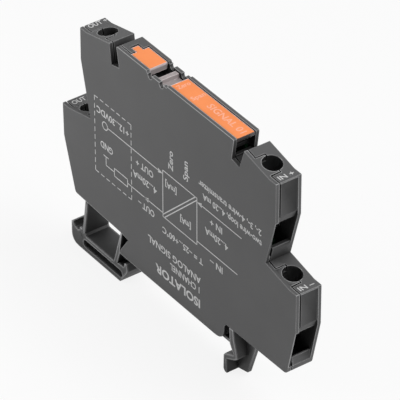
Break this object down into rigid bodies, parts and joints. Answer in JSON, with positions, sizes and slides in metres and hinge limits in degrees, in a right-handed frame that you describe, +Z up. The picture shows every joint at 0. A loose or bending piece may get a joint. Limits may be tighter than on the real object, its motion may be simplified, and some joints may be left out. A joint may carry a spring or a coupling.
{
  "type": "signal isolator",
  "caption": "Slim dark grey DIN-rail signal isolator with stepped screw terminals, orange marker flaps in a top channel, a latch foot and a fixed rail foot.",
  "frame": {"origin": "bottom of the two rail feet, at the middle of the length and width", "axes": "+X along the module towards the IN terminals, +Y across it away from the side cover, +Z up from the rail"},
  "size_m": [0.079, 0.006, 0.058],
  "materials": {
    "housing_plastic": "fine matt moulded polyamide",
    "clear_plastic": "clear polycarbonate",
    "marker_orange": "smooth orange marker strip",
    "board": "green solder mask",
    "ferrite": "sintered ferrite",
    "winding": "enamelled copper wire",
    "chip_black": "moulded epoxy",
    "ceramic": "fired ceramic",
    "trimmer_blue": "moulded trimmer case",
    "rotor_white": "moulded rotor",
    "steel": "zinc-plated steel",
    "tinned_copper": "tinned copper alloy"
  },
  "bodies": {
    "case": {"housing": "housing_plastic", "side_cover": "housing_plastic", "circuit_board": "board", "transformer_core": "ferrite", "transformer_winding": "winding", "control_chips": "chip_black", "chip_capacitors": "ceramic", "chip_resistors": "chip_black", "protection_diodes": "chip_black", "zero_trimmer": "trimmer_blue", "span_trimmer": "trimmer_blue", "contact_out_plus": "tinned_copper", "contact_out_minus": "tinned_copper", "contact_in_plus": "tinned_copper", "contact_in_minus": "tinned_copper"},
    "left_lid": {"left_flap": "clear_plastic", "left_marker": "marker_orange"},
    "right_lid": {"right_flap": "clear_plastic", "right_marker": "marker_orange"},
    "zero_adjuster": {"zero_rotor": "rotor_white"},
    "span_adjuster": {"span_rotor": "rotor_white"},
    "out_plus_screw": {"screw_out_plus": "steel"},
    "out_plus_cage": {"cage_out_plus": "steel"},
    "out_minus_screw": {"screw_out_minus": "steel"},
    "out_minus_cage": {"cage_out_minus": "steel"},
    "in_plus_screw": {"screw_in_plus": "steel"},
    "in_plus_cage": {"cage_in_plus": "steel"},
    "in_minus_screw": {"screw_in_minus": "steel"},
    "in_minus_cage": {"cage_in_minus": "steel"}
  },
  "joints": [
    {"name": "left_lid_hinge", "type": "hinge", "parent": "case", "child": "left_lid", "pos_m": [-0.0106, 0, 0.05655], "axis": [0, 1, 0], "range_deg": [0, 88]},
    {"name": "right_lid_hinge", "type": "hinge", "parent": "case", "child": "right_lid", "pos_m": [-0.00665, 0, 0.05655], "axis": [0, -1, 0], "range_deg": [0, 88]},
    {"name": "zero_turn", "type": "hinge", "parent": "case", "child": "zero_adjuster", "pos_m": [0.0013, -0.00045, 0.0539], "axis": [0, 0, 1], "range_deg": [-135, 135]},
    {"name": "span_turn", "type": "hinge", "parent": "case", "child": "span_adjuster", "pos_m": [0.0056, -0.00045, 0.0539], "axis": [0, 0, 1], "range_deg": [-135, 135]},
    {"name": "out_plus_screw_turn", "type": "hinge", "parent": "case", "child": "out_plus_screw", "pos_m": [-0.0273, 0, 0.05619], "axis": [0.225, 0, -0.9744], "range_deg": [0, 2160]},
    {"name": "out_plus_cage_rise", "type": "slide", "parent": "case", "child": "out_plus_cage", "axis": [-0.225, 0, 0.9744], "range_m": [0, 0.0027]},
    {"name": "out_minus_screw_turn", "type": "hinge", "parent": "case", "child": "out_minus_screw", "pos_m": [-0.03415, 0, 0.03404], "axis": [0.225, 0, -0.9744], "range_deg": [0, 2160]},
    {"name": "out_minus_cage_rise", "type": "slide", "parent": "case", "child": "out_minus_cage", "axis": [-0.225, 0, 0.9744], "range_m": [0, 0.0027]},
    {"name": "in_plus_screw_turn", "type": "hinge", "parent": "case", "child": "in_plus_screw", "pos_m": [0.0273, 0, 0.05619], "axis": [-0.225, 0, -0.9744], "range_deg": [0, 2160]},
    {"name": "in_plus_cage_rise", "type": "slide", "parent": "case", "child": "in_plus_cage", "axis": [0.225, 0, 0.9744], "range_m": [0, 0.0027]},
    {"name": "in_minus_screw_turn", "type": "hinge", "parent": "case", "child": "in_minus_screw", "pos_m": [0.03415, 0, 0.03404], "axis": [-0.225, 0, -0.9744], "range_deg": [0, 2160]},
    {"name": "in_minus_cage_rise", "type": "slide", "parent": "case", "child": "in_minus_cage", "axis": [0.225, 0, 0.9744], "range_m": [0, 0.0027]}
  ],
  "couplings": [
    {"joint": "out_plus_screw_turn", "follows": "out_plus_cage_rise", "rad_per_m": 13963},
    {"joint": "out_minus_screw_turn", "follows": "out_minus_cage_rise", "rad_per_m": 13963},
    {"joint": "in_plus_screw_turn", "follows": "in_plus_cage_rise", "rad_per_m": 13963},
    {"joint": "in_minus_screw_turn", "follows": "in_minus_cage_rise", "rad_per_m": 13963}
  ]
}
